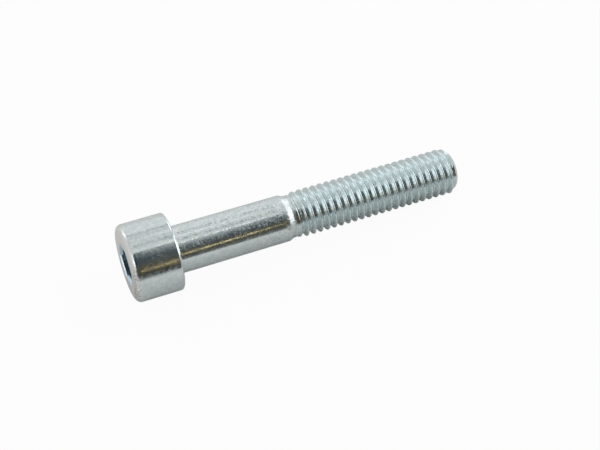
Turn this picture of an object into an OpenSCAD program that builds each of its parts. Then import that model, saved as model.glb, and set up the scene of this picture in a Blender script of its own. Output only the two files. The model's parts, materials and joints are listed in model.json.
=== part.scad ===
// Hex socket cap screw, M8 x 50, partly threaded, plain cylindrical head.
// The screw is drawn upright in its own frame: its axis is Z, the bearing face under the head is
// at Z = 0, the head lies below that face and the tip is above it. The last module lays it down.

/* [Head] */
// Diameter of the head
head_d = 13; // [12:0.1:16]
// Height of the head
head_h = 7.9; // [7:0.1:10]
// Radius of the rounding round the head's outer end
head_round = 1; // [0.4:0.1:1.5]
// Bevel round the bearing face
seat_bevel = 0.35; // [0.1:0.05:0.6]

/* [Socket] */
// Width of the hexagonal socket across its flats
socket_af = 6; // [4:0.1:7]
// Depth of the socket's flats
socket_depth = 4.3; // [3:0.1:5]
// Depth of the shallow cone that the punch leaves at the bottom
socket_cone = 0.3; // [0.2:0.1:1]
// Bevel round the socket's mouth
socket_bevel = 0.15; // [0.05:0.05:0.3]
// Turn of the socket's flats about the screw's axis
socket_turn = 33; // [0:1:59]

/* [Shank] */
// Length under the head, from the bearing face to the tip
length = 50; // [40:1:80]
// Diameter of the plain shank
shank_d = 7.9; // [7.8:0.05:8.6]
// Length of the plain shank, from the bearing face to its taper
shank_len = 19; // [10:0.5:25]
// Radius of the fillet under the head
fillet_r = 0.6; // [0.3:0.1:1]
// Length of the taper from the shank down to the blank that the thread is rolled on
taper_len = 1.3; // [0.5:0.1:2]

/* [Thread] */
// Diameter over the thread's crests
thread_d = 7.83; // [7.7:0.01:8]
// Pitch of the thread, from crest to crest
pitch = 1.25; // [1:0.05:1.5]
// Bare length of the blank between the taper and the thread's start
bare_len = 0.2; // [0.1:0.1:1]
// Turns over which the first thread rises to its full height
rise_turns = 1.2; // [0.5:0.1:2]
// Turn of the thread about the screw's axis
start_turn = 144; // [0:1:359]
// Length of the chamfer at the tip
tip_chamfer = 1.1; // [0.6:0.1:1.4]

/* [Hidden] */

// Flats round one turn of the thread
steps = 30;
half_flat = 180 / steps;
// Segments round the turned surfaces
round_fn = 96;
// How far a cut, or a part of a union, runs past the face where it starts or ends
past = 0.5;
socket_sides = 6;
// Flat ring that is left at the socket's bottom, round the cone
punch_land = 0.2;

// Angle between a flank of the thread and a plane square to the axis
flank_angle = 30;
// Flat widths of the thread's crest and root. A metric thread that ends a little under its full
// diameter, as this one does, has a crest about as wide as its root.
crest_w = pitch / 6;
root_w = pitch / 6;
flank_w = (pitch - crest_w - root_w) / 2;
crest_r = thread_d / 2;
root_r = crest_r - flank_w / tan(flank_angle);
// the blank is as wide as the thread where its ridge and its groove are equally wide, because
// rolling pushes metal out of the groove and up to the crest
blank_r = crest_r - (pitch / 2 - crest_w) / 2 / tan(flank_angle);
blank_from = shank_len + taper_len;
thread_from = blank_from + bare_len;
// the taper's cone runs on inside the blank, so that the two meet in a clean edge
buried_len = past * taper_len;
buried_r = blank_r - (shank_d / 2 - blank_r) * past;

// One pitch of the thread's section, as [distance along the axis, radius]
section = [
    [0, crest_r],
    [crest_w, crest_r],
    [crest_w + flank_w, root_r],
    [crest_w + flank_w + root_w, root_r],
];
corners = len(section);
// the thread runs on past the tip, and the tip's cone cuts it off
turns = ceil((length - thread_from) / pitch) + 1;
stations = turns * steps;
over_z = thread_from + (turns + 2) * pitch;

// The screw lies on the edge of its head and on the last full thread before the tip
lie_angle = atan((head_d / 2 - crest_r) / (length - tip_chamfer + seat_bevel));

function along(r, turn_angle, z) = [r * cos(turn_angle), r * sin(turn_angle), z];
function rise(k) = min(1, k / steps / rise_turns);
function thread_point(k, i) = along(
    blank_r + rise(k) * (section[i][1] - blank_r),
    360 * k / steps,
    thread_from + pitch * k / steps + section[i][0]
);
function ring(r, z) = [for (j = [0:steps - 1]) along(r, 360 * j / steps, z)];
// number of the point at station k and corner i, after the first ring's points
function at(k, i) = steps + k * corners + i;

// A blank rod with a right-hand helical thread on it, from the taper to past the tip. The thread
// is one strip, wound so that the last corner of each turn meets the first corner of the next.
module threaded_rod() {
    last = corners - 1;
    far = (stations + 1) * corners + steps;
    back = stations - steps;
    bottom = [[for (j = [0:steps - 1]) j]];
    lead_in = [
        for (j = [0:steps - 2]) each [[j, at(j, 0), at(j + 1, 0)], [j, at(j + 1, 0), j + 1]],
    ];
    lead_in_seam = [
        [steps - 1, at(steps - 1, 0), 0],
        [0, at(steps - 1, 0), at(0, 0)],
        for (i = [0:last - 1]) [at(0, i), at(steps - 1, 0), at(0, i + 1)],
        [at(0, last), at(steps - 1, 0), at(steps, 0)],
    ];
    strip = [
        for (k = [0:stations - 1], i = [0:last - 1]) each [
            [at(k, i), at(k, i + 1), at(k + 1, i + 1)],
            [at(k, i), at(k + 1, i + 1), at(k + 1, i)],
        ],
    ];
    strip_seam = [
        for (k = [0:back - 1]) each [
            [at(k, last), at(k + steps, 0), at(k + steps + 1, 0)],
            [at(k, last), at(k + steps + 1, 0), at(k + 1, last)],
        ],
    ];
    lead_out = [
        for (j = [1:steps - 1]) let (k = back + j, next = (j + 1) % steps) each [
            [at(k, last), far + j, far + next],
            [at(k, last), far + next, at(k + 1, last)],
        ],
    ];
    lead_out_seam = [
        [at(back + 1, last), far, far + 1],
        [at(back + 1, last), at(stations, last), far],
        for (i = [0:last - 1]) [at(back + 1, last), at(stations, i), at(stations, i + 1)],
        [at(back + 1, last), at(back, last), at(stations, 0)],
    ];
    top = [[for (j = [steps - 1:-1:0]) far + j]];
    rotate([0, 0, half_flat]) polyhedron(
        points = concat(
            ring(blank_r, blank_from - past),
            [for (k = [0:stations], i = [0:last]) thread_point(k, i)],
            ring(root_r, over_z)
        ),
        faces = concat(bottom, lead_in, lead_in_seam, strip, strip_seam, lead_out, lead_out_seam, top)
    );
}

// What the tip's chamfer leaves: a plain cylinder with a 45 degree cone at its end
module tip_envelope() {
    wide_r = crest_r + past;
    rotate_extrude($fn = round_fn) polygon([
        [0, 0],
        [wide_r, 0],
        [wide_r, length - tip_chamfer - past],
        [crest_r - tip_chamfer, length],
        [0, length],
    ]);
}

// The corner of a square that is left outside a circle of radius r
module corner_outside(r) {
    difference() {
        square(r + past);
        circle(r, $fn = round_fn);
    }
}

module head_section() {
    difference() {
        translate([0, -head_h]) square([head_d / 2, head_h]);
        translate([head_d / 2 - head_round, head_round - head_h]) mirror([0, 1]) corner_outside(head_round);
        translate([head_d / 2 - seat_bevel, 0]) rotate(-45) square(2 * seat_bevel);
    }
}

module shank_section() {
    polygon([
        [0, -past],
        [shank_d / 2, -past],
        [shank_d / 2, shank_len],
        [buried_r, blank_from + buried_len],
        [0, blank_from + buried_len],
    ]);
}

module fillet_section() {
    difference() {
        translate([shank_d / 4, -past]) square([shank_d / 4 + fillet_r, past + fillet_r]);
        translate([shank_d / 2 + fillet_r, fillet_r]) circle(fillet_r, $fn = round_fn);
    }
}

// The upset head and the plain shank, as one turned form
module blank() {
    rotate_extrude($fn = round_fn) {
        head_section();
        shank_section();
        fillet_section();
    }
}

// The hexagonal socket, with its punched bottom. A pyramid cuts the bevel round its mouth.
module socket() {
    flat_r = socket_af / 2;
    pyramid_r = flat_r + socket_bevel + past;
    half_side = 180 / socket_sides;
    rotate([0, 0, socket_turn]) translate([0, 0, -head_h]) {
        rotate([0, 0, half_side]) translate([0, 0, -past]) {
            cylinder(h = socket_depth + past, r = flat_r / cos(half_side), $fn = socket_sides);
            cylinder(h = pyramid_r, r1 = pyramid_r / cos(half_side), r2 = 0, $fn = socket_sides);
        }
        translate([0, 0, socket_depth - past])
            cylinder(h = past, r = flat_r - punch_land, $fn = round_fn);
        translate([0, 0, socket_depth])
            cylinder(h = socket_cone, r1 = flat_r - punch_land, r2 = 0, $fn = round_fn);
    }
}

// One forged, turned and thread-rolled piece
module upright_screw() {
    difference() {
        rotate([0, 0, start_turn]) union() {
            blank();
            intersection() {
                threaded_rod();
                tip_envelope();
            }
        }
        socket();
    }
}

module cap_screw() {
    color("silver") rotate([0, 90 + lie_angle, 0]) upright_screw();
}

cap_screw();
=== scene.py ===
# %% [markdown]
# # A hex socket cap screw in bright zinc
#
# The real screw is one piece of steel wire. Its head is upset in a cold press, the socket is
# punched into it, the thread is rolled between two dies, and the whole screw is plated with
# zinc. This lesson builds one such screw as a single closed mesh, gives it a plated finish and
# lights it the way a small shiny part is lit on a table.
#
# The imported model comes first. It is the frame that every size and place is measured from.

# %% Load the frame
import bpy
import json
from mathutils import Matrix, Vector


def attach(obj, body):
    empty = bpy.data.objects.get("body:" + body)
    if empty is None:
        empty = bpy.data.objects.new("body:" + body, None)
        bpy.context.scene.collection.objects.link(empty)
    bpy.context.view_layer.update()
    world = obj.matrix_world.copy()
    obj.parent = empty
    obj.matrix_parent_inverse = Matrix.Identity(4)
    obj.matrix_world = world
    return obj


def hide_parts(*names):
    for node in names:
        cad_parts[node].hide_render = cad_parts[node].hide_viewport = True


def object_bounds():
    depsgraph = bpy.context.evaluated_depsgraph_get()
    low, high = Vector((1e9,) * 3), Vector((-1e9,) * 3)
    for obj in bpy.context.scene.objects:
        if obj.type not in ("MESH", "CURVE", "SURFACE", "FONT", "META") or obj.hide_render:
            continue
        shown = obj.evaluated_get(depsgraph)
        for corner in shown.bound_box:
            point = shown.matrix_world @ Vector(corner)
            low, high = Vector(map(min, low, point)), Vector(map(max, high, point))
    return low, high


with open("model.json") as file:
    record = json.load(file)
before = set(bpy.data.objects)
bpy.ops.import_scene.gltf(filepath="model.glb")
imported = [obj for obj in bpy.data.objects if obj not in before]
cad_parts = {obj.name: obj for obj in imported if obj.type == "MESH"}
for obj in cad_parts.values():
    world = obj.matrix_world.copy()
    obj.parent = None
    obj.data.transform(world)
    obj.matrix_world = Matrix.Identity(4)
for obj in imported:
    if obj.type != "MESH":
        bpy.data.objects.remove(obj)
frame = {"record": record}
cad_box = [list(corner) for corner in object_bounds()]

import json
import math

import bmesh
import bpy
from mathutils import Matrix, Vector

MM = 0.001
print("box of the packed model, mm:", [[round(c / MM, 2) for c in corner] for corner in cad_box])

# %% [markdown]
# ## How the screw lies
#
# A cap screw that is laid on a table touches it at two places: the edge of the wide head and a
# crest of the thread near the tip. So its axis dips a little towards the tip. The frame's record
# holds that axis at the bearing face, the ring under the head, and the bearing face's centre is
# the origin. The screw is easier to build upright, so it is built along Z, with the head below
# the origin, and laid down at the end.

# %% Read the axis
mounts = {mount["name"]: mount for mount in frame["record"]["mounts"]}
axis = Vector(mounts["bearing_face"]["axis"])
lie_angle = math.asin(-axis.z)
lay_down = Matrix.Rotation(math.pi / 2 + lie_angle, 4, "Y")
table_z = cad_box[0][2]
print(f"the axis dips {math.degrees(lie_angle):.2f} degrees, the table is at {table_z / MM:.2f} mm")

# %% [markdown]
# ## Sizes
#
# All sizes are in millimetres, as a maker would write them. The head, the socket and the pitch
# are those of an M8 screw. The helix is placed by two values, where the thread begins along the
# axis and at which turn, so that its crests fall where the frame has them.

# %% Name the sizes
head_r, head_h, head_round, seat_round = 6.5, 7.9, 1.0, 0.35
socket_af, socket_depth, socket_turn = 6.0, 4.3, 33.0
lead_w, lead_h = 0.15, 0.5
punch_r, punch_cone = 2.8, 0.3
length, shank_r, shank_len, fillet_r, taper_len = 50.0, 3.95, 19.0, 0.6, 1.3
crest_r, pitch, thread_from, thread_turn = 3.915, 1.25, 20.5, 150.0
tip_chamfer, tip_round = 1.1, 0.6
flank_angle = math.radians(30)
crest_flat, root_flat = pitch / 6, pitch / 6
flank_w = (pitch - crest_flat - root_flat) / 2
root_r = crest_r - flank_w / math.tan(flank_angle)
blank_r = crest_r - (pitch / 2 - crest_flat) / 2 / math.tan(flank_angle)
print(f"root {root_r:.3f}, blank {blank_r:.3f}, crest {crest_r:.3f} mm")

# %% [markdown]
# ## The thread's section
#
# Rolling presses the dies' teeth into the blank, so a rolled thread has no sharp edge: the root
# is a smooth round, and so is the crest, where the metal rose freely. The section over one pitch
# is therefore drawn as arcs that meet straight flanks. A point is a distance along the axis and
# a radius.

# %% Draw one pitch of the thread
def arc(centre, radius, start, end, parts):
    """Points on a circle in a section, from one angle in degrees to another."""
    turns = [math.radians(start + (end - start) * k / parts) for k in range(parts + 1)]
    return [(centre[0] + radius * math.cos(t), centre[1] + radius * math.sin(t)) for t in turns]


def rounded_by(flat):
    """Radius of the round that replaces a flat of this width between two flanks."""
    return flat / 2 / math.tan(flank_angle)


def flank(low, high):
    """The first point, and two that hold a straight flank flat between its rounds."""
    return [tuple(a + (b - a) * share for a, b in zip(low, high)) for share in (0, 0.06, 0.94)]


crest_round = rounded_by(crest_flat)
root_round = rounded_by(root_flat)
print(f"rounds: crest {crest_round:.3f} mm, root {root_round:.3f} mm")

groove = arc((0, root_r + root_round), root_round, -90, -30, 3)
ridge = arc((pitch / 2, crest_r - crest_round), crest_round, 150, 30, 6)
next_groove = arc((pitch, root_r + root_round), root_round, -150, -90, 3)
section = (
    groove[:-1] + flank(groove[-1], ridge[0]) + ridge[:-1] + flank(ridge[-1], next_groove[0])
    + next_groove
)
print(f"{len(section)} points for one pitch")

# %% [markdown]
# ## Rolling the thread
#
# A thread is one section carried round the axis while it moves along it. Blender's spin does
# just that when it is given a step along the axis. Only the first turn is spun. The others are
# copies, each one pitch further on, which is far quicker than a long spin. Each turn meets the
# one before it, and merging the doubles turns them all into one surface. The thread starts two
# turns early, well inside the plain shank, and ends past the tip. Both ends are trimmed later.
# A Screw modifier could make the helix too, but the neck and the tip are shaped out of it next,
# and that is easier while it is still a bmesh.

# %% Spin the helix
steps = 96
spare_turns = 2
# the section starts in a groove, half a pitch before its crest
groove_to_crest = 0.5
first = thread_from + crest_flat / 2 - pitch * (thread_turn / 360 + groove_to_crest + spare_turns)
turns = math.ceil((length - first) / pitch) + 1

bm = bmesh.new()
drawn = [bm.verts.new((r, 0, first + z)) for z, r in section]
joined = [bm.edges.new(pair) for pair in zip(drawn, drawn[1:])]
bmesh.ops.spin(
    bm, geom=drawn + joined, cent=(0, 0, 0), axis=(0, 0, 1),
    dvec=(0, 0, pitch / steps), angle=2 * math.pi, steps=steps,
)
one_turn = [*bm.verts, *bm.edges, *bm.faces]
for k in range(1, turns):
    made = bmesh.ops.duplicate(bm, geom=one_turn)["geom"]
    copied = [part for part in made if isinstance(part, bmesh.types.BMVert)]
    bmesh.ops.translate(bm, vec=(0, 0, k * pitch), verts=copied)
bmesh.ops.remove_doubles(bm, verts=bm.verts, dist=0.002)
print(f"{turns} turns, {len(bm.faces)} faces")

# %% [markdown]
# ## The neck and the tip
#
# The thread doesn't start at full height. The shank tapers down to the thinner blank, in a slope
# that eases in and out because the metal flowed there, and the ridge rises out of the blank over
# a little more than a turn. At the tip a 45 degree chamfer cuts the crests down, so that a nut
# finds its way on. Both are one rule for the distance of each vertex from the axis.

# %% Shape the neck and the tip
rise = 1.2 * pitch
least_r = 0.5


def blank_outline(z):
    """Radius of the screw before its thread is rolled."""
    share = min(max((z - shank_len) / taper_len, 0), 1)
    eased = share * share * (3 - 2 * share)
    return shank_r + eased * (blank_r - shank_r)


def set_radius(vert, radius):
    """Moves a vertex straight out from the axis, or straight in."""
    vert.co.xy = vert.co.xy.normalized() * radius


for vert in bm.verts:
    z = vert.co.z
    height = min(max((z - thread_from) / rise, 0), 1)
    ridge = height * (vert.co.xy.length - blank_r)
    chamfer = crest_r - max(0, z - (length - tip_chamfer))
    set_radius(vert, max(min(blank_outline(z) + ridge, chamfer), least_r))
print(f"taper from {shank_r:.2f} to {blank_r:.2f} mm, ridge at full height after {rise:.2f} mm")

# %% [markdown]
# ## Trimming the two ends
#
# Bisecting with a plane leaves a clean round loop at each end, one in the plain shank and one on
# the tip's chamfer. The rest of the screw is turned metal, so it grows out of these loops: a loop
# is extruded, and its new vertices are set to the next distance and radius of the outline. One
# small helper does this for the whole head and for the tip.

# %% Trim the ends
def trim(z, keep):
    """Cuts the mesh square to the axis and returns the edges of the cut."""
    made = bmesh.ops.bisect_plane(
        bm, geom=[*bm.verts, *bm.edges, *bm.faces], dist=0.0005, plane_co=(0, 0, z),
        plane_no=(0, 0, 1), clear_inner=keep == "above", clear_outer=keep == "below",
    )
    return [e for e in made["geom_cut"] if isinstance(e, bmesh.types.BMEdge)]


def carry_on(loop, outline):
    """Extrudes a round loop through an outline of (distance, radius) and returns the last loop."""
    for z, r in outline:
        made = bmesh.ops.extrude_edge_only(bm, edges=loop)["geom"]
        ring = {v for v in made if isinstance(v, bmesh.types.BMVert)}
        for vert in ring:
            set_radius(vert, r)
            vert.co.z = z
        loop = [e for e in made if isinstance(e, bmesh.types.BMEdge) and ring.issuperset(e.verts)]
    return loop


plain_end = 0.6
shank_loop = trim(shank_len - plain_end, "above")
tip_loop = trim(length - tip_round * (1 - math.cos(math.pi / 4)), "below")
print(f"{len(shank_loop)} edges round the shank, {len(tip_loop)} round the tip")

# %% [markdown]
# ## The tip, the shank and the head
#
# The outlines are arcs and straight runs, like the section of the thread: a round at the tip, the
# fillet that keeps the head from cracking off, the flat bearing face with its rounded rim, the
# plain side of the head and the large round at its outer end. The last ring lies on the face,
# a little way out from the socket.

# %% Grow the tip, the shank and the head
tip_r = crest_r - tip_chamfer - tip_round * math.tan(math.pi / 8)
tip_loop = carry_on(tip_loop, arc((length - tip_round, tip_r), tip_round, 45, 0, 4)[1:])
bmesh.ops.edgeloop_fill(bm, edges=tip_loop)

face_ring = 1.6
face_r = socket_af / 2 + face_ring
head_outline = (
    arc((fillet_r, shank_r + fillet_r), fillet_r, -90, -180, 6)
    + arc((-seat_round, head_r - seat_round), seat_round, 0, 90, 5)
    + arc((head_round - head_h, head_r - head_round), head_round, 90, 180, 9)
    + [(-head_h, face_r)]
)
face_loop = carry_on(shank_loop, head_outline)
print(f"{len(head_outline)} rings from the fillet to the face, {len(bm.faces)} faces")

# %% [markdown]
# ## The socket
#
# A punch presses the hexagon into the head. A Boolean cut could make it, but would leave long thin
# faces round the rim. So the mouth is drawn as a hexagon with many vertices on each side, and the
# face is filled between it and the face's ring, which keeps both edges clean.

# %% Punch the socket
side_parts = 16
mouth_at = Matrix.LocRotScale(
    Vector((0, 0, -head_h)), Matrix.Rotation(math.radians(socket_turn), 3, "Z"), None,
)
mouth_r = (socket_af / 2 + lead_w) / math.cos(math.pi / 6)
bmesh.ops.create_circle(bm, cap_ends=False, segments=6, radius=mouth_r, matrix=mouth_at)
sides = [e for e in bm.edges if e.is_wire]
made = bmesh.ops.subdivide_edges(bm, edges=sides, cuts=side_parts - 1)
mouth = [e for e in made["geom"] if isinstance(e, bmesh.types.BMEdge)]
filled = bmesh.ops.triangle_fill(bm, edges=mouth + face_loop, use_beauty=True, normal=(0, 0, -1))
flat_face = [f for f in filled["geom"] if isinstance(f, bmesh.types.BMFace)]
face_area = sum(f.calc_area() for f in flat_face)
print(f"{len(mouth)} edges round the mouth, a face of {face_area:.1f} mm2")

# %% [markdown]
# ## The socket's walls and bottom
#
# The mouth is a little wider than the rest, with a steep lead-in that helps the key to enter. So
# the hexagon is extruded to the end of the lead-in, where it is narrower, and straight on from
# there. The punch has a blunt point, which leaves a shallow cone at the bottom.

# %% Sink the walls and the bottom
def sink(loop, z, narrowing):
    """Extrudes a loop to a distance along the axis, narrows it and returns the new loop."""
    made = bmesh.ops.extrude_edge_only(bm, edges=loop)["geom"]
    ring = {v for v in made if isinstance(v, bmesh.types.BMVert)}
    for vert in ring:
        vert.co = (vert.co.x * narrowing, vert.co.y * narrowing, z)
    return [e for e in made if isinstance(e, bmesh.types.BMEdge) and ring.issuperset(e.verts)]


lead_end = sink(mouth, lead_h - head_h, socket_af / (socket_af + 2 * lead_w))
walls_end = sink(lead_end, socket_depth - head_h, 1)
punch_loop = carry_on(walls_end, [(socket_depth - head_h, punch_r)])
disc = bmesh.ops.edgeloop_fill(bm, edges=punch_loop)["faces"]
point = bmesh.ops.poke(bm, faces=disc)["verts"]
for vert in point:
    vert.co.z = socket_depth + punch_cone - head_h
print("socket bottom at", round(max(v.co.z for v in point), 2), "mm")

# %% [markdown]
# ## Soft edges
#
# No edge of a plated part is razor sharp. A very small bevel round the mouth and along the end of
# the lead-in catches the light as the real edges do.

# %% Break the socket's edges
edge_bevel = 0.02
bmesh.ops.bevel(
    bm, geom=mouth + lead_end, offset=edge_bevel, offset_type="OFFSET",
    segments=2, profile=0.5, affect="EDGES", material=-1, clamp_overlap=True,
)
print(f"{len(bm.faces)} faces")

# %% [markdown]
# ## One closed mesh, laid on the table
#
# The mesh is merged, its normals are made to point outwards, and it is scaled from millimetres to
# metres and laid down. A closed mesh has exactly two faces at each edge, so that is counted. The
# shading is smooth, and a weighted normal keeps the large flat faces flat beside their rounds.

# %% Lay the screw down
bmesh.ops.remove_doubles(bm, verts=bm.verts, dist=0.001)
bmesh.ops.recalc_face_normals(bm, faces=bm.faces)
open_edges = sum(len(e.link_faces) != 2 for e in bm.edges)
bmesh.ops.transform(bm, matrix=lay_down @ Matrix.Scale(MM, 4), verts=bm.verts)
volume = bm.calc_volume() / MM**3
print(f"{open_edges} open edges, {volume:.0f} mm3, {len(bm.faces)} faces")

screw_mesh = bpy.data.meshes.new("cap_screw_form")
bm.to_mesh(screw_mesh)
bm.free()
screw_mesh.shade_smooth()
screw_mesh.set_sharp_from_angle(angle=math.radians(38))
screw = bpy.data.objects.new("zinc_cap_screw", screw_mesh)
bpy.context.scene.collection.objects.link(screw)
weighted = screw.modifiers.new("flat_faces_stay_flat", "WEIGHTED_NORMAL")
weighted.keep_sharp = True
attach(screw, "root")
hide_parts("cap_screw")
print(f"{sum(len(p.vertices) - 2 for p in screw_mesh.polygons)} triangles in {screw.name}")

# %% [markdown]
# ## Helpers for finishes
#
# Colours are written as the hex values that a painter's chart would show, and Blender wants
# linear numbers, so one function turns the first into the second. A second one adds a node, sets
# what is given on the node or on its sockets, and links what comes from other nodes. A socket goes
# by its name. Some nodes have several sockets of one name, and there a socket goes by its place,
# so that `_0` is the first one. On a Mix node for colours, `_6` and `_7` are the two colours, and
# output 2 is the result.

# %% Colour and node helpers
def linear(hex_colour):
    """A hex colour as the linear red, green, blue and alpha that a socket takes."""
    parts = [int(hex_colour[k : k + 2], 16) / 255 for k in (1, 3, 5)]
    return [p / 12.92 if p < 0.04045 else ((p + 0.055) / 1.055) ** 2.4 for p in parts] + [1]


def add(tree, kind, settings=None, **sockets):
    """Adds a node. A socket's value is a number or a colour, or an output to link to it."""
    node = tree.nodes.new(kind)
    for name, value in (settings or {}).items():
        setattr(node, name, value)
    for name, value in sockets.items():
        key = int(name[1:]) if name[1:].isdigit() else name.replace("_", " ")
        socket = node.inputs[key]
        if isinstance(value, bpy.types.NodeSocket):
            tree.links.new(value, socket)
        else:
            socket.default_value = value
    return node


def new_tree(name):
    """A material of that name with an empty node tree."""
    material = bpy.data.materials.new(name)
    material.use_nodes = True
    material.node_tree.nodes.clear()
    return material, material.node_tree


def steps_of(node, stops):
    """Gives a colour ramp its stops, as (place, hex colour)."""
    ramp = node.color_ramp
    while len(ramp.elements) < len(stops):
        ramp.elements.new(0.5)
    for element, (place, colour) in zip(ramp.elements, stops):
        element.position = place
        element.color = linear(colour)
    return node.outputs["Color"]


print("a mid grey is", [round(part, 3) for part in linear("#808080")], "in linear numbers")

# %% [markdown]
# ## The finish: zinc-plated steel
#
# The screw is steel that was plated with zinc in a bath and then passivated, which leaves a
# clear, faintly blue skin. It is bright but not a mirror: the plating copies the steel under it
# and adds a grain of its own. All of it is one metal, and what changes from place to place is how
# rough, how pitted and how blue it is. So the finish is made of patterns, of places, and of sums
# that say how much of each goes into the colour, the roughness and the relief.
#
# Four noises are the patterns. They read the object's own coordinates, turned so that X runs
# along the screw and counted in millimetres. A Noise Texture's scale is then the number of spots
# in a millimetre.

# %% Lay out the patterns
plating, tree = new_tree("zinc_plated_steel")
object_place = add(tree, "ShaderNodeTexCoord").outputs["Object"]
along = add(
    tree, "ShaderNodeMapping", {"vector_type": "POINT"}, Vector=object_place,
    Rotation=(0, -lie_angle, 0), Scale=(1 / MM,) * 3,
).outputs["Vector"]
stretched = add(
    tree, "ShaderNodeMapping", {"vector_type": "POINT"}, Vector=along, Scale=(0.12, 1, 1),
).outputs["Vector"]

noises = {
    # clouds of about 2.4 mm, where the bath left the zinc coarser: the metal is duller there
    "cloud": (along, 0.42, 6, 0.65),
    # blotches of about 0.6 mm, which vary the blue skin
    "mottle": (along, 1.7, 3, 0.6),
    # the crystals of zinc are thousandths of a millimetre wide, far too fine to show, so the grain
    # is drawn at 0.3 mm, as coarse as the specks and pits that do show
    "grain": (along, 3.2, 3, 0.55),
    # the lines that drawing the wire left are as fine as the crystals, and are drawn at 0.4 mm
    # across and eight times as long
    "lines": (stretched, 2.4, 3, 0.5),
}
share = {
    name: add(
        tree, "ShaderNodeTexNoise", Vector=place, Scale=scale, Detail=detail, Roughness=fineness,
    ).outputs["Fac"]
    for name, (place, scale, detail, fineness) in noises.items()
}
print("patterns:", ", ".join(share))

# %% [markdown]
# ## Where the finish changes
#
# Handling, rolling and the bath treat each part of a screw in their own way. A place is a share
# between 0 and 1 that eases from one distance to another: along the axis, across it, or out from
# it. The same ease picks the coarse or the dark part out of a pattern. Where a place has two
# limits, or a pattern belongs to one place, two shares are multiplied. A material made this way
# follows the screw from every side, and needs no painting.

# %% Mark the places
parts = add(tree, "ShaderNodeSeparateXYZ", Vector=along).outputs
across = add(tree, "ShaderNodeCombineXYZ", Y=parts["Y"], Z=parts["Z"]).outputs["Vector"]
from_axis = add(tree, "ShaderNodeVectorMath", {"operation": "LENGTH"}, _0=across).outputs["Value"]
neck_end = shank_len + taper_len
rolled_full = neck_end + 2
wall_r, mouth_edge_r = 3.5, 3.62

for name, value, none_at, all_at in (
    ("rolled", parts["X"], neck_end, rolled_full),
    ("not_rolled", parts["X"], rolled_full, neck_end),
    ("in_head", parts["X"], -2, -3),
    ("in_mouth", from_axis, mouth_edge_r, wall_r),
    ("off_mouth", from_axis, wall_r, mouth_edge_r),
    ("at_face", parts["X"], -head_h + 0.8, -head_h + 0.2),
    ("near_rim", parts["Y"], -3.4, -5.2),
    ("neck_from", parts["X"], shank_len - 1.6, shank_len + 0.3),
    ("neck_to", parts["X"], thread_from + 0.6, thread_from - 0.2),
    ("handled", parts["X"], 4, 15),
    ("shank", parts["X"], -0.2, 0.4),
    ("before_neck", parts["X"], shank_len - 0.3, shank_len - 1.3),
    ("upper_side", parts["Y"], -3.0, -2.2),
    ("dull_cloud", share["cloud"], 0.34, 0.74),
    ("coarse_grain", share["grain"], 0.44, 0.58),
    ("bright_grain", share["grain"], 0.4, 0.6),
    ("dark_grain", share["grain"], 0.5, 0.38),
):
    share[name] = add(
        tree, "ShaderNodeMapRange", {"interpolation_type": "SMOOTHSTEP"}, Value=value,
        From_Min=none_at, From_Max=all_at,
    ).outputs["Result"]

for name, one, other in (
    ("socket", "in_head", "in_mouth"),
    ("face", "at_face", "off_mouth"),
    ("scuffed", "face", "near_rim"),
    ("neck", "neck_from", "neck_to"),
    ("worn", "handled", "not_rolled"),
    ("bare", "shank", "before_neck"),
    ("frosted", "bare", "upper_side"),
    ("frost", "frosted", "coarse_grain"),
    ("scratches", "scuffed", "bright_grain"),
    ("spots", "worn", "dark_grain"),
):
    share[name] = add(
        tree, "ShaderNodeMath", {"operation": "MULTIPLY"}, _0=share[one], _1=share[other],
    ).outputs["Value"]
print(len(share), "patterns and places")

# %% [markdown]
# ## The colour of the zinc
#
# Zinc is a cool, light grey, and the passivation makes it bluer where it is thick. The mottle runs
# it from a bluer to a warmer grey. The thread, the face and the socket each have a tint of their
# own: rolled flanks and the hollow socket hold more of the blue skin, and the face, which is
# rubbed the most, is a neutral grey. Pits are darker specks, the rim of the face is scuffed, and
# the end of the shank has small dark spots.
#
# A weighed sum is needed three times from here on, so it is a helper: a start value, and each
# share times an amount.

# %% Colour the plating
def weighed(start, amounts):
    """The start value, plus each named share times its amount."""
    value = start
    for name, amount in amounts.items():
        value = add(
            tree, "ShaderNodeMath", {"operation": "MULTIPLY_ADD"}, _0=share[name], _1=amount,
            _2=value,
        ).outputs["Value"]
    return value


colour = steps_of(
    add(tree, "ShaderNodeValToRGB", Fac=share["mottle"]),
    [(0.34, "#D1DBDE"), (0.54, "#DEE6E7"), (0.68, "#ECEEEB")],
)
for place, tint in (("rolled", "#DCE7E9"), ("face", "#E2E1DF"), ("socket", "#CFE0EB")):
    colour = add(
        tree, "ShaderNodeMix", {"data_type": "RGBA"}, _0=share[place], _6=colour, _7=linear(tint),
    ).outputs[2]
specks = add(
    tree, "ShaderNodeMapRange", Value=share["grain"], From_Min=0.27, From_Max=0.37, To_Min=0.6,
    To_Max=1,
).outputs["Result"]
marks = weighed(specks, {"scuffed": -0.46, "scratches": 0.58, "spots": -0.12})
plate_colour = add(
    tree, "ShaderNodeMix", {"data_type": "RGBA", "blend_type": "MULTIPLY"}, _0=1.0, _6=colour,
    _7=marks,
).outputs[2]
print("colour:", len(tree.nodes), "nodes so far")

# %% [markdown]
# ## Its roughness and relief
#
# Roughness decides how sharp the reflections are. The mottle gives 0.12 of it on average, so the
# sum starts just under nothing. Clouds from the bath and the rolled thread are duller, the face
# is duller still, the scuffed rim and the plain shank are brighter, and a frost of coarse grain
# on the upper side of the shank breaks up the edge of its dark reflection. The neck, which was
# squeezed between the dies, is soft and dented.
#
# The relief is three bumps on top of each other: drawn lines, dents in the neck, and the pits of
# the grain. Their depths are hundredths of a millimetre.

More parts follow.
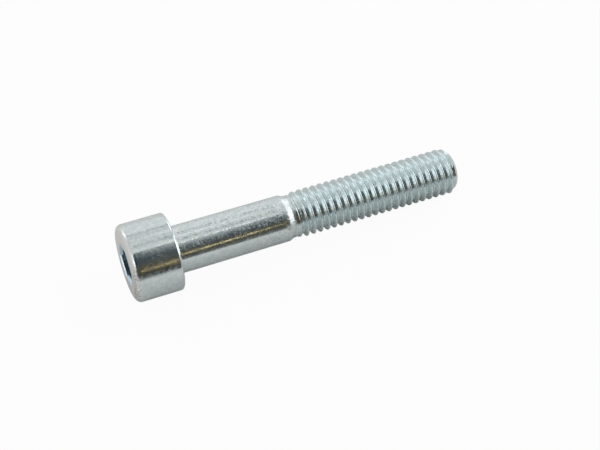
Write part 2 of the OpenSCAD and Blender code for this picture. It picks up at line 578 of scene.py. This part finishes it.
# %% Set the roughness and the relief
roughness = weighed(
    -0.01,
    {
        "mottle": 0.23, "dull_cloud": 0.15, "coarse_grain": 0.03, "frost": 0.27, "shank": -0.05,
        "rolled": 0.11, "face": 0.24, "scuffed": -0.16, "neck": 0.2,
    },
)
pitting = weighed(0.42, {"face": 0.48, "scuffed": 1.4, "rolled": 0.6})
dent_depth, fine_depth = 0.1 * MM, 0.02 * MM
waves = add(
    tree, "ShaderNodeBump", Height=share["lines"], Strength=0.08, Distance=fine_depth,
).outputs["Normal"]
dents = add(
    tree, "ShaderNodeBump", Height=share["mottle"], Strength=share["neck"], Distance=dent_depth,
    Normal=waves,
).outputs["Normal"]
pits = add(
    tree, "ShaderNodeBump", Height=share["grain"], Strength=pitting, Distance=fine_depth,
    Normal=dents,
).outputs["Normal"]
metal = add(
    tree, "ShaderNodeBsdfPrincipled", Base_Color=plate_colour, Metallic=1.0, Roughness=roughness,
    Normal=pits,
)
add(tree, "ShaderNodeOutputMaterial", Surface=metal.outputs["BSDF"])
screw_mesh.materials.append(plating)
print("finish:", plating.name, "with", len(tree.nodes), "nodes")

# %% [markdown]
# ## The table
#
# The screw lies on a large sheet of white paper. Product pictures show such a sheet as pure white
# with a soft shadow. That white comes from the paper's own material, not from stronger lamps,
# which would bleach the metal too: the material mixes lit paper with plain white.

# %% Lay out the white table
table_size = 3.0
bm = bmesh.new()
bmesh.ops.create_grid(bm, x_segments=1, y_segments=1, size=table_size / 2)
bmesh.ops.translate(bm, vec=(0, 0, table_z), verts=bm.verts)
table_mesh = bpy.data.meshes.new("white_table")
bm.to_mesh(table_mesh)
bm.free()
table = bpy.data.objects.new("white_table", table_mesh)
bpy.context.scene.collection.objects.link(table)
print("table at", round(table_z / MM, 2), "mm")

# %% [markdown]
# ## White paper
#
# The camera sees nearly all white, and the rest is lit paper, which keeps the screw's shadow. In
# the metal it is the other way round. What the screw mirrors of the paper beside it is mostly
# lit paper, in the shade of the screw itself, and further off the share of plain white grows. That
# growing white is painted light, a glow that brightens away from the screw and so paints a shade
# around it. It grows much faster in front of the head's end, where nothing throws a shade.

# %% Make the white paper
seen_white, mirrored_white, clear_white = 0.95, 0.27, 0.05
shade_end, open_from = 12 * MM, 60 * MM
end_slope, end_shift = -8.0, -50 * MM

paper, tree = new_tree("white_paper")
spot = add(tree, "ShaderNodeSeparateXYZ", Vector=add(tree, "ShaderNodeTexCoord").outputs["Object"])
beside = add(tree, "ShaderNodeMath", {"operation": "ABSOLUTE"}, _0=spot.outputs["Y"])
past_end = add(
    tree, "ShaderNodeMath", {"operation": "MULTIPLY_ADD"}, _0=spot.outputs["X"], _1=end_slope,
    _2=end_shift,
)
from_screw = add(
    tree, "ShaderNodeMath", {"operation": "MAXIMUM"}, _0=beside.outputs["Value"],
    _1=past_end.outputs["Value"],
)
# painted light: the white glow that the metal sees in the paper grows with the distance from the
# screw, which paints a shade close to it
painted_light_share = add(
    tree, "ShaderNodeMapRange", Value=from_screw.outputs["Value"], From_Min=shade_end,
    From_Max=open_from, To_Max=mirrored_white,
)
ray = add(tree, "ShaderNodeLightPath").outputs
seen = add(
    tree, "ShaderNodeMath", {"operation": "MULTIPLY"}, _0=ray["Is Camera Ray"], _1=seen_white,
)
mirrored = add(
    tree, "ShaderNodeMath", {"operation": "MULTIPLY_ADD"}, _0=ray["Is Glossy Ray"],
    _1=painted_light_share.outputs["Result"], _2=seen.outputs["Value"],
)
clear = add(
    tree, "ShaderNodeMath", {"operation": "MULTIPLY_ADD"}, _0=ray["Is Transmission Ray"],
    _1=clear_white, _2=mirrored.outputs["Value"],
)
lit = add(tree, "ShaderNodeBsdfDiffuse", Color=linear("#E6E6E5"))
white = add(tree, "ShaderNodeEmission", Color=(1, 1, 1, 1), Strength=1.0)
both = add(
    tree, "ShaderNodeMixShader", _0=clear.outputs["Value"], _1=lit.outputs["BSDF"],
    _2=white.outputs["Emission"],
)
add(tree, "ShaderNodeOutputMaterial", Surface=both.outputs["Shader"])
table_mesh.materials.append(paper)
print(f"the camera sees {seen_white:.0%} white, the metal mirrors up to {mirrored_white:.0%}")

# %% [markdown]
# ## The room
#
# A shiny part shows its surroundings more than its own colour, so the room is as much a part of
# the finish as the zinc. It starts as a pale dome that lights everything evenly. The camera sees
# the dome as white, like the paper.

# %% Light the room
world = bpy.data.worlds.new("pale_room")
bpy.context.scene.world = world
world.use_nodes = True
tree = world.node_tree
tree.nodes.clear()
dome = add(tree, "ShaderNodeBackground", Color=linear("#E8E9E9"), Strength=1.0)
white = add(tree, "ShaderNodeBackground", Color=(1, 1, 1, 1), Strength=1.0)
ray = add(tree, "ShaderNodeLightPath").outputs
room = add(
    tree, "ShaderNodeMixShader", _0=ray["Is Camera Ray"], _1=dome.outputs["Background"],
    _2=white.outputs["Background"],
)
add(tree, "ShaderNodeOutputWorld", Surface=room.outputs["Shader"])
print("world:", world.name)

# %% [markdown]
# ## Cards for the metal to mirror
#
# A bright round bar turns what stands beside it into long bands. So the bands of the head and the
# shank are made as a photographer makes them, with cards. Each is bent round the X axis at about
# half a metre. Its two heights are angles over the table: 0 is level behind the screw, 90 is
# overhead, and 180 is level on the camera's side. The camera looks at the screw at a slant, so a
# stretch of the screw mirrors a stretch of card that is three times as long and begins 0.1 m
# further along X: the shank looks at 0.1 to 0.16 m, the head at what comes before, and the thread
# at what comes after. Lamps with dark flags before them could do this too, but each card would
# then light the table. These glow by themselves and are seen by reflections alone, so no view is
# blocked, and each has just the tone that is written here.

# %% Bend a card
def shades_up(tree, radius, stops, ragged):
    """A colour that changes with the height on a card, in stops whose edges may be ragged."""
    place = add(tree, "ShaderNodeTexCoord").outputs["Object"]
    height = add(tree, "ShaderNodeSeparateXYZ", Vector=place).outputs["Z"]
    level = add(tree, "ShaderNodeMapRange", Value=height, From_Min=0, From_Max=radius)
    fibres = add(tree, "ShaderNodeMapping", Vector=place, Scale=(700, 9, 9)).outputs["Vector"]
    torn = add(tree, "ShaderNodeTexNoise", Vector=fibres, Scale=1.0, Detail=5, Roughness=0.65)
    shift = add(
        tree, "ShaderNodeMapRange", Value=torn.outputs["Fac"], To_Min=-ragged, To_Max=ragged,
    )
    level = add(tree, "ShaderNodeMath", _0=level.outputs["Result"], _1=shift.outputs["Result"])
    return steps_of(add(tree, "ShaderNodeValToRGB", Fac=level.outputs["Value"]), stops)


def curved_card(name, start, end, radius, span, colour, glow=1.0, lean=0, ragged=0):
    """A card between two heights in degrees and two distances along X, plain or in stops."""
    bm = bmesh.new()
    turns = [math.radians(start), math.radians(start + lean)]
    places = [(x, radius * math.cos(t), radius * math.sin(t)) for x, t in zip(span, turns)]
    edge = [bm.verts.new(place) for place in places]
    rim = bm.edges.new(edge)
    bmesh.ops.spin(
        bm, geom=edge + [rim], cent=(0, 0, 0), axis=(1, 0, 0), dvec=(0, 0, 0),
        angle=math.radians(end - start), steps=max(2, round((end - start) / 3)),
    )
    bmesh.ops.translate(bm, vec=(0, 0, table_z), verts=bm.verts)
    mesh = bpy.data.meshes.new(name)
    bm.to_mesh(mesh)
    bm.free()
    card = bpy.data.objects.new(name, mesh)
    bpy.context.scene.collection.objects.link(card)
    card.visible_camera = False
    material, tree = new_tree(name)
    plain = isinstance(colour, str)
    tone = linear(colour) if plain else shades_up(tree, radius, colour, ragged)
    shine = add(tree, "ShaderNodeEmission", Color=tone, Strength=glow)
    add(tree, "ShaderNodeOutputMaterial", Surface=shine.outputs["Emission"])
    mesh.materials.append(material)
    print(name, "from", start, "to", end, "degrees")


# how far the cards stand from the X axis, and how far the long ones reach along it, in metres
farthest, main, near, nearer, nearest = 0.52, 0.5, 0.49, 0.485, 0.48
whole = (-0.7, 0.7)
print(f"cards stand {nearest} to {farthest} m away")

# %% [markdown]
# ## The dark side of the room
#
# One large dark card on the camera's side makes the broad dark band. It is warmer halfway up,
# where it catches light from the table. Smaller pieces in front of it give the band its detail: a
# black block that the round of the head's end mirrors, a thin brass rod that draws the gold line
# along the head, its paler end that leans as the line passes the shank, and a torn sheet whose
# upper edge makes the shank's band end in shreds. A grey foot lifts the lower flanks of the thread.

# %% Stand up the dark cards
curved_card(
    "dark_card", 102.5, 179, main, whole,
    [(0.05, "#494A48"), (0.25, "#3B3A36"), (0.5, "#585240"), (0.66, "#565753"), (0.85, "#424A50"),
     (1.0, "#495358")],
)
curved_card("camera_body", 112, 134, nearest, (-0.3, -0.1), "#0C0E0E")
curved_card("brass_rod", 154.6, 156.7, near, (0.0735, 0.092), "#E9C87A", glow=1.9)
curved_card("brass_end", 152.6, 155.2, nearest, (0.093, 0.147), "#E2CE9C", glow=2.2, lean=-5.3)
curved_card(
    "torn_edge", 102, 178, nearer, (0.098, 0.162),
    [(0.05, "#6E706E"), (0.25, "#57574F"), (0.55, "#5A574C"), (0.72, "#505456"), (0.84, "#5C6266"),
     (0.91, "#82888A"), (0.955, "#D2D6D4")],
    ragged=0.3,
)
curved_card("pale_foot", 166, 179.5, nearer, (0.165, 0.7), [(0.0, "#A8AEAE"), (0.25, "#6A6E6E")])

# %% [markdown]
# ## The light side of the room
#
# Overhead, a ceiling a little darker than the dome keeps the top of the screw from being a blank
# white. Thin grey seams in it draw the fine lines along the head and the shank, and two white
# strips over the shank edge its dark band and its upper side.

# %% Hang the light cards
curved_card("ceiling", 50, 105, farthest, whole, [(0.75, "#CED0CD"), (1.0, "#DEE0DE")])
curved_card("far_seam", 41.5, 46, near, whole, "#A8AEB1")
curved_card("near_seam", 82, 86, near, whole, "#C4C8C8")
curved_card("shank_seam", 78, 85.5, nearer, (0.1, 0.16), "#A6ACAE")
curved_card("white_edge", 93, 101.5, nearer, (0.106, 0.158), "#F6F8F8", glow=1.2)
curved_card("white_strip", 57, 67, near, (0.104, 0.16), "#F6F8F8", glow=1.15)

# %% [markdown]
# ## The soft boxes
#
# Five lamps with large soft faces light the room from its ends and from above. The one on the
# left shines on the head's face and into the socket, the wide one on the right on the tip and on
# the flanks of the thread, and the two at the back on the far rims. The one overhead gives the
# shadow its soft edge. It isn't mirrored, because the ceiling card is what the metal shows there.

# %% Hang the soft boxes
def soft_box(name, azimuth, height, distance, across, tall, glow, mirrored=True):
    """A lamp that faces the screw from an azimuth and a height in degrees."""
    a, e = math.radians(azimuth), math.radians(height)
    towards = Vector((math.cos(a) * math.cos(e), math.sin(a) * math.cos(e), math.sin(e)))
    data = bpy.data.lights.new(name, "AREA")
    data.shape = "RECTANGLE"
    data.size, data.size_y = across, tall
    data.energy = glow * math.pi * across * tall
    lamp = bpy.data.objects.new(name, data)
    lamp.location = towards * distance
    lamp.rotation_euler = towards.to_track_quat("Z", "Y").to_euler()
    lamp.visible_camera = False
    lamp.visible_glossy = mirrored
    bpy.context.scene.collection.objects.link(lamp)
    print(f"{name}: {data.energy:.2f} W at {azimuth} and {height} degrees")


soft_box("left_box", -155, 36, 0.6, 0.24, 0.34, 1.4)
soft_box("right_box", -17, 28, 0.6, 0.62, 0.38, 1.75)
soft_box("back_box", 46, 26, 0.6, 0.24, 0.36, 1.3)
soft_box("rim_box", 122, 20, 0.6, 0.1, 0.3, 1.3)
soft_box("top_box", 75, 62, 0.7, 0.3, 0.3, 1.2, mirrored=False)

# %% [markdown]
# ## The camera
#
# The picture was taken with a long lens from above the head's side, a little past square to the
# axis, so that the socket's mouth shows as a thin ellipse. The target is the middle of the screw
# under its head, and a small shift sideways and upwards frames it as the photograph does.

# %% Set up the camera
picture_w, focal_px = 600, 1410.3
azimuth, elevation = math.radians(-21.94), math.radians(54.79)
distance, side, lift = 234.47, -2.534, -2.674
back = Vector((
    math.sin(azimuth) * math.cos(elevation), -math.cos(azimuth) * math.cos(elevation),
    math.sin(elevation),
))
right = Vector((math.cos(azimuth), math.sin(azimuth), 0))
up = back.cross(right)
target = axis * (length / 2)
eye = (target + back * distance + right * side + up * lift) * MM
camera_data = bpy.data.cameras.new("long_lens")
camera_data.sensor_width = 36
camera_data.lens = camera_data.sensor_width * focal_px / picture_w
camera_data.clip_start, camera_data.clip_end = 0.01, 10
camera = bpy.data.objects.new("long_lens", camera_data)
bpy.context.scene.collection.objects.link(camera)
camera.matrix_world = Matrix.Translation(eye) @ Matrix((right, up, back)).transposed().to_4x4()
bpy.context.scene.camera = camera
bpy.context.scene.view_settings.view_transform = "Standard"
print(f"lens {camera_data.lens:.1f} mm, eye at", [round(c / MM, 1) for c in eye])

# %% [markdown]
# ## Finish
#
# The view layer is updated last, so that every object's place is current.

# %% Update the view layer
bpy.context.view_layer.update()
